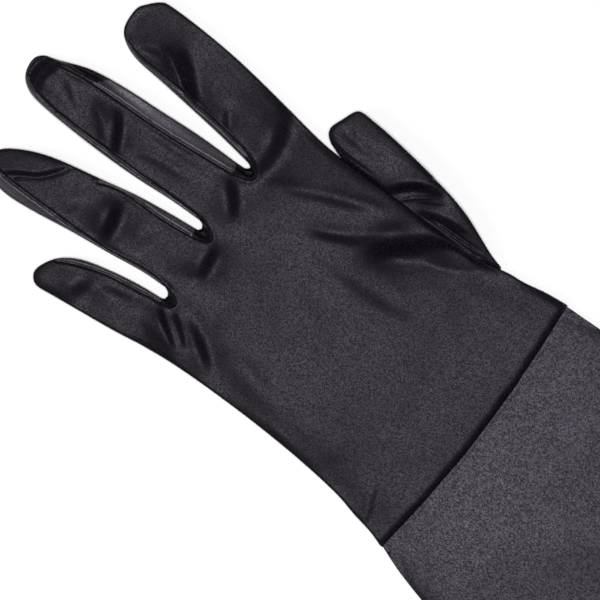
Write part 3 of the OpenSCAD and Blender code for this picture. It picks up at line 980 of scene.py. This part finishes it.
TOP, UNDER = hand.is_top, ~hand.is_top
plain = strip == ""
make("hand_back_cloth", hand, TOP & plain & (region == "hand"), hand_satin, "hand_satin",
     ["hand_back", "hand_outer_side", "hand_inner_side"], "hand", rests_on=["hand_palm_cloth"])
make("hand_palm_cloth", hand, UNDER & plain & (region == "hand"), hand_satin, "hand_satin",
     ["hand_palm"], "hand", rests_on=["floor"])
# The strips at the crotches take the darker satin: painted shade.
for a, b in SEAMS:
    key = f"{a}_{b}"
    make(f"fork_{key}_cloth", hand, (strip == key) & (region == "hand"), shaded_web_satin, "hand_satin",
         [f"fork_{key}"], "hand")
# How far past its crease a finger's bend would reach, and that bend's height. They give the start and end
# handed to make, which does not use them.
BEND = 20.0
BEND_Z = 4.0
FOURCHETTES = {
    "little": {"little_ring": "little_fourchette"},
    "ring": {"little_ring": "ring_fourchette_outer", "ring_middle": "ring_fourchette_inner"},
    "middle": {"ring_middle": "middle_fourchette_outer", "middle_index": "middle_fourchette_inner"},
    "index": {"middle_index": "index_fourchette"},
}
for name, line in crease_lines.items():
    axis = (line[-1] - line[0]) / np.linalg.norm(line[-1] - line[0])
    up = np.array([-axis[1], axis[0]])
    mid = (line[0] + line[-1]) / 2
    start, end = np.append(mid, BEND_Z), np.append(mid + up * BEND, BEND_Z)
    bend = dict(body="hand", child=name, start=start, end=end)
    back_nodes = [f"{name}_back"] + ([f"{name}_side"] if name in ("little", "index") else [])
    make(f"{name}_back_cloth", hand, TOP & plain & (region == name), hand_satin, "hand_satin", back_nodes,
         rests_on=[f"{name}_palm_cloth"], **bend)
    make(f"{name}_palm_cloth", hand, UNDER & plain & (region == name), hand_satin, "hand_satin",
         [f"{name}_palm"], rests_on=["floor"], **bend)
    # The fourchettes' strips in the fingers take the lighter satin: painted light.
    for key, cad in FOURCHETTES[name].items():
        made = make(f"{cad}_cloth", hand, (strip == key) & (region == name), lit_strip_satin, "hand_satin",
                    [cad], **bend)
        # Past the slanting line this strip takes the hand's darker satin instead of its own lighter one:
        # painted shade at its tip.
        if cad == "middle_fourchette_inner":
            made.data.materials.append(hand_satin)
            for face in made.data.polygons:
                u, v = np.array(face.center[:2]) * 1000 - ORIGIN
                face.material_index = int(v > TIP_SHADE_FROM[1] + TIP_SLANT * (TIP_SHADE_FROM[0] - u))

# The hem is the hand's own cloth turned under at the wrist.
WRIST_HEM = 12
in_hem = (mid_v < WRIST_HEM) & plain & (region == "hand")
make("wrist_hem_cloth", hand, in_hem, hand_satin, "hand_satin", ["wrist_hem"], "hand",
     rests_on=["hand_palm_cloth"], held="folded", around=2, outside=0.55, inside_at=0.95)

# ---------------------------------------------------------------- the thumb's pieces

axis = thumb_crease[-1] - thumb_crease[0]
axis = axis / np.linalg.norm(axis)
up = np.array([-axis[1], axis[0]])
above = (thumb.mid - thumb_crease[0]) @ up > 0
mid = (thumb_crease[0] + thumb_crease[-1]) / 2
THUMB_BEND, THUMB_BEND_Z = 12, 2.0
start, end = np.append(mid, THUMB_BEND_Z), np.append(mid + up * THUMB_BEND, THUMB_BEND_Z)
bend = dict(body="hand", child="thumb", start=start, end=end)
make("thumb_root_back_cloth", thumb, thumb.is_top & ~above, hand_satin, "hand_satin",
     ["thumb_root_back", "thumb_root_side"], "hand", rests_on=["thumb_root_palm_cloth"])
make("thumb_root_palm_cloth", thumb, ~thumb.is_top & ~above, hand_satin, "hand_satin",
     ["thumb_root_palm"], "hand", rests_on=["floor"])
make("thumb_back_cloth", thumb, thumb.is_top & above, hand_satin, "hand_satin",
     ["thumb_back", "thumb_outer_side", "thumb_inner_side"], rests_on=["thumb_palm_cloth"], **bend)
make("thumb_palm_cloth", thumb, ~thumb.is_top & above, hand_satin, "hand_satin", ["thumb_palm"],
     rests_on=["floor"], **bend)

# ---------------------------------------------------------------- the sleeve's pieces

WRIST_BEND, ELBOW_BEND = 30, 34


def bend_across(body, child, y, reach):
    """A bend straight across the sleeve, from y down to reach below it."""
    return dict(body=body, child=child, start=np.array([0, y, BEND_Z]), end=np.array([0, reach, BEND_Z]))


wrist_bend = bend_across("hand", "forearm", SEAM_Y, WRIST_Y - WRIST_BEND)
elbow_bend = bend_across("forearm", "arm", ELBOW_Y, ELBOW_Y - ELBOW_BEND)
y = sleeve.mid[:, 1]
in_hand = y > SEAM_Y
in_arm = y < ELBOW_Y
make("seam_allowance_cloth", sleeve, in_hand, sleeve_satin, "sleeve_satin", ["sleeve_seam_allowance"], "hand")
make("forearm_upper_cloth", sleeve, sleeve.is_top & ~in_hand & ~in_arm, sleeve_satin, "sleeve_satin",
     ["forearm_upper_layer", "forearm_outer_side", "forearm_inner_side"],
     rests_on=["forearm_under_cloth"], **wrist_bend)
make("forearm_under_cloth", sleeve, ~sleeve.is_top & ~in_hand & ~in_arm, sleeve_satin, "sleeve_satin",
     ["forearm_under_layer"], rests_on=["floor"], **wrist_bend)
make("arm_upper_cloth", sleeve, sleeve.is_top & in_arm, sleeve_satin, "sleeve_satin",
     ["arm_upper_layer", "arm_outer_side", "arm_inner_side"], rests_on=["arm_under_cloth"], **elbow_bend)
make("arm_under_cloth", sleeve, ~sleeve.is_top & in_arm, sleeve_satin, "sleeve_satin", ["arm_under_layer"],
     rests_on=["floor"], **elbow_bend)
# The hem's cloth is turned in, and the tape lies between it and the sleeve.
make("top_hem_cloth", sleeve, y < HEM_Y, sleeve_satin, "sleeve_satin", ["top_hem"], "arm",
     rests_on=["arm_under_cloth"], held="folded", around=2, outside=1.05, inside_at=1.45)
in_tape = (y > SLEEVE_END + 5) & (y < SLEEVE_END + 13)
make("top_elastic_tape", sleeve, in_tape, tape, "elastic_tape", ["top_elastic"], "arm",
     outside=0.58, inside_at=0.98)

# Two rows of stitches hold the top hem, seen on both faces of the sleeve.
STITCH, STITCH_GAP, STITCH_THICK = 2.4, 0.7, 0.19
# Rings along a stitch: place as a share of its length, and thickness.
RINGS = [(-0.5, 0.35), (-0.38, 0.9), (0.38, 0.9), (0.5, 0.35)]
verts, faces = [], []
for y, _ in STITCH_ROWS:
    a, b = sleeve_span(y)
    for x in np.arange(a + 2, b - 2, STITCH + STITCH_GAP):
        nearest = ((PS - (x + STITCH / 2, y)) ** 2).sum(1).argmin()
        for z in (sleeve.co[nearest, 2], sleeve.co[nearest + len(PS), 2]):
            start = len(verts)
            for at, size in RINGS:
                for k in range(6):
                    turn = math.pi * k / 3
                    verts.append((
                        (x + STITCH * (at + 0.5)) / 1000,
                        (y + size * STITCH_THICK * math.cos(turn)) / 1000,
                        (z + size * STITCH_THICK * math.sin(turn)) / 1000,
                    ))
            for ring in range(len(RINGS) - 1):
                for k in range(6):
                    low, high, after = start + 6 * ring, start + 6 * ring + 6, (k + 1) % 6
                    faces.append((low + k, high + k, high + after, low + after))
            faces.append(tuple(start + k for k in range(6)))
            faces.append(tuple(start + 6 * len(RINGS) - 1 - k for k in range(6)))
stitch_mesh = bpy.data.meshes.new("top_hem_stitches")
stitch_mesh.from_pydata(verts, [], faces)
stitch_mesh.uv_layers.new(name="flat")
stitch_mesh.materials.append(thread)
stitches = bpy.data.objects.new("top_hem_stitches", stitch_mesh)
bpy.context.scene.collection.objects.link(stitches)
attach(stitches, "arm")

# ---------------------------------------------------------------- floor, light and camera

FLOOR = 6.0
floor_mesh = bpy.data.meshes.new("floor")
corners = [(-FLOOR, -FLOOR, 0), (FLOOR, -FLOOR, 0), (FLOOR, FLOOR, 0), (-FLOOR, FLOOR, 0)]
floor_mesh.from_pydata(corners, [], [(0, 1, 2, 3)])
floor = bpy.data.objects.new("floor", floor_mesh)
bpy.context.scene.collection.objects.link(floor)
floor_mat = bpy.data.materials.new("floor")
floor_mat.use_nodes = True
floor_shader = floor_mat.node_tree.nodes["Principled BSDF"]
floor_shader.inputs["Base Color"].default_value = (0.96, 0.96, 0.96, 1)
floor_shader.inputs["Roughness"].default_value = 0.9
floor_shader.inputs["Specular IOR Level"].default_value = 0.1
floor_mesh.materials.append(floor_mat)
floor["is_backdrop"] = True

world = bpy.data.worlds.new("studio")
world.use_nodes = True
world.node_tree.nodes["Background"].inputs["Color"].default_value = (1, 1, 1, 1)
world.node_tree.nodes["Background"].inputs["Strength"].default_value = 0.07
bpy.context.scene.world = world
bpy.context.scene.view_settings.view_transform = "Standard"

VIEW_MIDDLE = (-2.45, 73.1)
VIEW_Z = 4.0
view_middle = Vector((*pattern(VIEW_MIDDLE), VIEW_Z)) / 1000


def soft_light(name, offset, size, power):
    """A round area light at an offset in metres from the middle of the view, at which it points."""
    light = bpy.data.lights.new(name, "AREA")
    light.shape = "DISK"
    light.size = size
    light.energy = power
    lamp = bpy.data.objects.new(name, light)
    lamp.location = view_middle + Vector(offset)
    lamp.rotation_euler = (view_middle - lamp.location).to_track_quat("-Z", "Y").to_euler()
    bpy.context.scene.collection.objects.link(lamp)


soft_light("top", (-0.02, 0.03, 1.5), 0.6, 22)
soft_light("side", (-0.9, 0.7, 0.8), 0.5, 2.0)

# The camera looks straight down. The view's width is measured at the glove's upper side, in metres.
HEIGHT = 1.3
VIEW_WIDTH = 0.204
SENSOR = 36
camera_data = bpy.data.cameras.new("camera")
camera_data.sensor_width = SENSOR
camera_data.lens = SENSOR * (HEIGHT - 0.005) / VIEW_WIDTH
camera = bpy.data.objects.new("camera", camera_data)
image_up = Vector((0.7938, 0.6081, 0))
image_right = Vector((0.6081, -0.7938, 0))
turn = Matrix((image_right, image_up, Vector((0, 0, 1)))).transposed()
camera.matrix_world = Matrix.Translation(view_middle + Vector((0, 0, HEIGHT - 0.004))) @ turn.to_4x4()
bpy.context.scene.collection.objects.link(camera)
bpy.context.scene.camera = camera

low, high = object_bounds()
